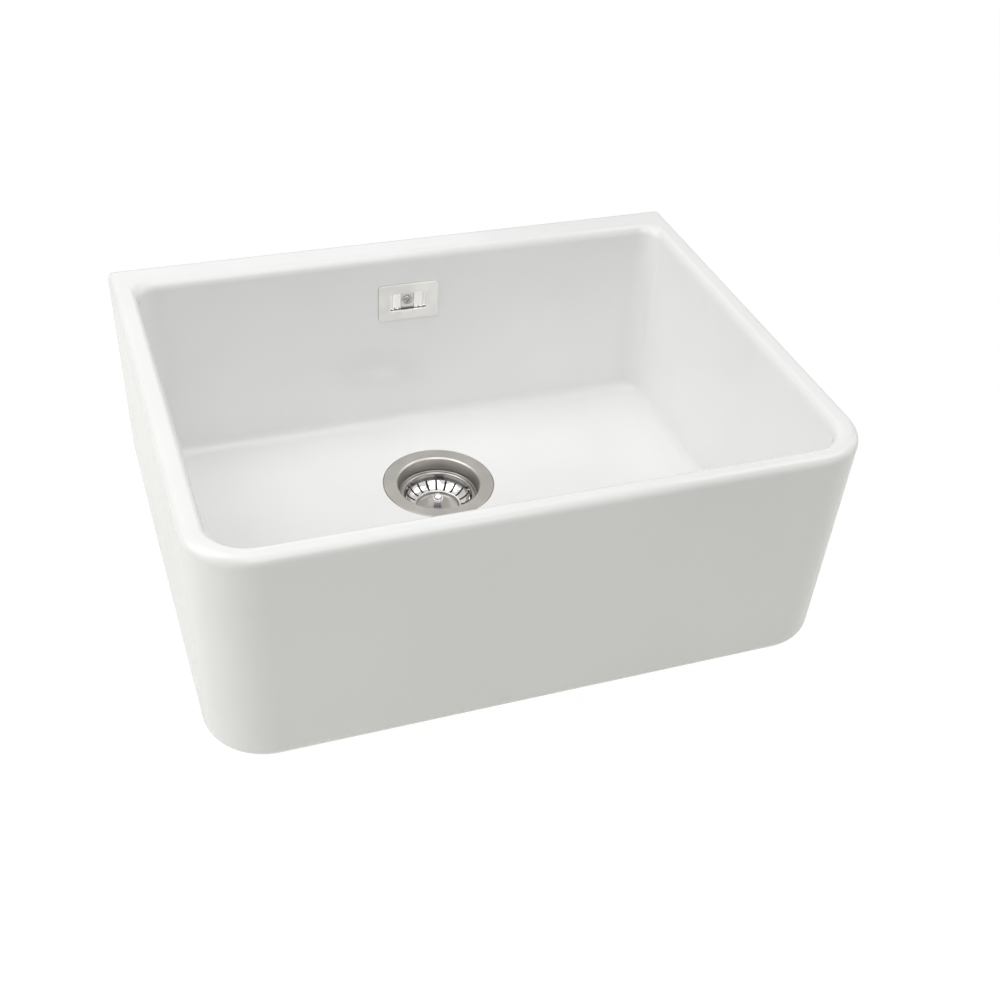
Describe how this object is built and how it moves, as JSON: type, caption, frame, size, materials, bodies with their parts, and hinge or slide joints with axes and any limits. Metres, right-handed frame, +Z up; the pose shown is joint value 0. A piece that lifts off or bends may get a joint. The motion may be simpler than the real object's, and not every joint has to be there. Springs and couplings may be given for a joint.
{
  "type": "butler sink",
  "caption": "Ceramic butler sink with an apron front, a lift-out basket strainer waste under a steel flange, and a slotted overflow piped back to the waste.",
  "frame": {"origin": "middle of the flat underside of the bowl", "axes": "+X to the right seen from the front, +Y from the front to the back, +Z up"},
  "size_m": [0.5946, 0.4748, 0.308],
  "materials": {
    "glazed_fireclay": "gloss",
    "satin_steel": "satin",
    "polished_steel": "polished",
    "chrome": "polished",
    "brass": "machined",
    "white_plastic": "satin",
    "black_rubber": "matte",
    "foam_gasket": "matte foam"
  },
  "bodies": {
    "sink": {"sink_bowl": "glazed_fireclay", "strainer_gasket": "foam_gasket", "strainer_body": "satin_steel", "base_gasket": "black_rubber", "waste_body": "white_plastic", "bolt_nut": "brass", "bolt_washer": "black_rubber", "centre_bolt": "satin_steel", "overflow_front_gasket": "foam_gasket", "overflow_plate": "satin_steel", "overflow_bridge": "polished_steel", "overflow_screw": "polished_steel", "overflow_rear_gasket": "foam_gasket", "overflow_elbow": "white_plastic", "overflow_insert": "brass", "elbow_seal": "black_rubber", "overflow_pipe": "white_plastic", "union_seal": "black_rubber", "union_nut": "white_plastic"},
    "collet": {"basket_collet": "white_plastic"},
    "basket": {"basket_stem": "white_plastic", "stopper_seal": "black_rubber", "basket_shell": "satin_steel", "basket_knob": "chrome"}
  },
  "joints": [
    {"name": "basket_lift", "type": "slide", "parent": "sink", "child": "collet", "axis": [0, 0, 1], "range_m": [0, 0.07]},
    {"name": "basket_turn", "type": "hinge", "parent": "collet", "child": "basket", "pos_m": [0, 0.076, 0], "axis": [0, 0, 1], "continuous": true}
  ]
}
